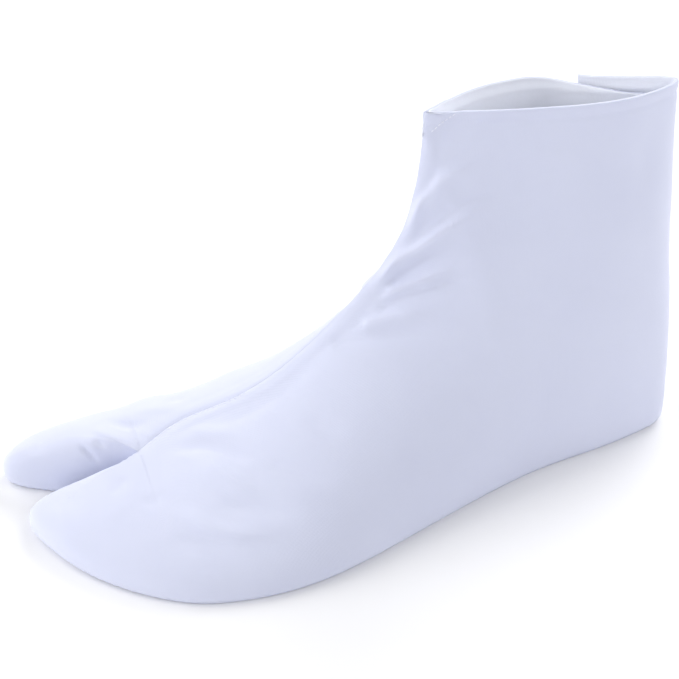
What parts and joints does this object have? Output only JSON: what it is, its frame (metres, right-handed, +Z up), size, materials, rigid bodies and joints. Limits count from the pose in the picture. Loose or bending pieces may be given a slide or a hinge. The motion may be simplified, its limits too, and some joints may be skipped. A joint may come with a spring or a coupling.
{
  "type": "tabi sock",
  "caption": "Left split-toe ankle sock of stiff woven cotton, filled out and standing on its sole, open at the mouth, with a rear flap over an underlap and clasps inside the flap.",
  "frame": {"origin": "on the floor, at the middle of the sock's bounding box in plan", "axes": "+X towards the heel, so the toes point to -X; +Y towards the big-toe side; +Z up"},
  "size_m": [0.2514, 0.1051, 0.1396],
  "materials": {
    "outer_cotton": "matte bleached plain-weave cotton",
    "inner_cotton": "matte bleached plain-weave cotton",
    "sole_cotton": "matte heavy twill cotton",
    "clasp_metal": "thin satin plate"
  },
  "bodies": {
    "root": {"outer_panel": "outer_cotton", "inner_panel": "inner_cotton", "sole": "sole_cotton", "kohaze_1": "clasp_metal", "kohaze_2": "clasp_metal", "kohaze_3": "clasp_metal", "kohaze_4": "clasp_metal"}
  },
  "joints": []
}
